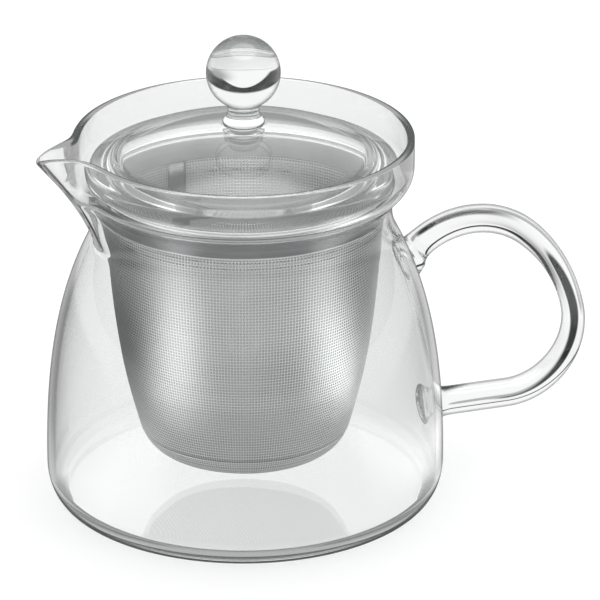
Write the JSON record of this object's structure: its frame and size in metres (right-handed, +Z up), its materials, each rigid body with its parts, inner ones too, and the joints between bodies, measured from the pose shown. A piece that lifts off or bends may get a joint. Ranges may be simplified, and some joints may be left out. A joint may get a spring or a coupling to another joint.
{
  "type": "glass teapot",
  "caption": "Clear glass teapot with a pulled beak, a rod handle, a domed lid with a ball knob, and a lift-out steel mesh strainer.",
  "frame": {"origin": "middle of the flat foot, on the pot's axis, at the level of the surface it stands on", "axes": "+Z up along the pot's axis, beak towards -X, handle towards +X"},
  "size_m": [0.1394, 0.096, 0.1155],
  "materials": {
    "pot_glass": "clear fire-polished",
    "handle_glass": "clear fire-polished",
    "lid_glass": "clear pressed",
    "knob_glass": "clear fire-polished",
    "rim_steel": "satin",
    "mesh_steel": "fine woven wire"
  },
  "bodies": {
    "pot": {"pot_body": "pot_glass", "handle": "handle_glass"},
    "strainer": {"strainer_rim": "rim_steel", "strainer_hem": "rim_steel", "strainer_wall": "mesh_steel", "strainer_bottom": "mesh_steel"},
    "lid": {"lid_disc": "lid_glass", "lid_knob": "knob_glass"}
  },
  "joints": [
    {"name": "strainer_lift", "type": "slide", "parent": "pot", "child": "strainer", "axis": [0, 0, 1], "range_m": [0, 0.095]},
    {"name": "lid_lift", "type": "slide", "parent": "strainer", "child": "lid", "axis": [0, 0, 1], "range_m": [0, 0.04]}
  ]
}
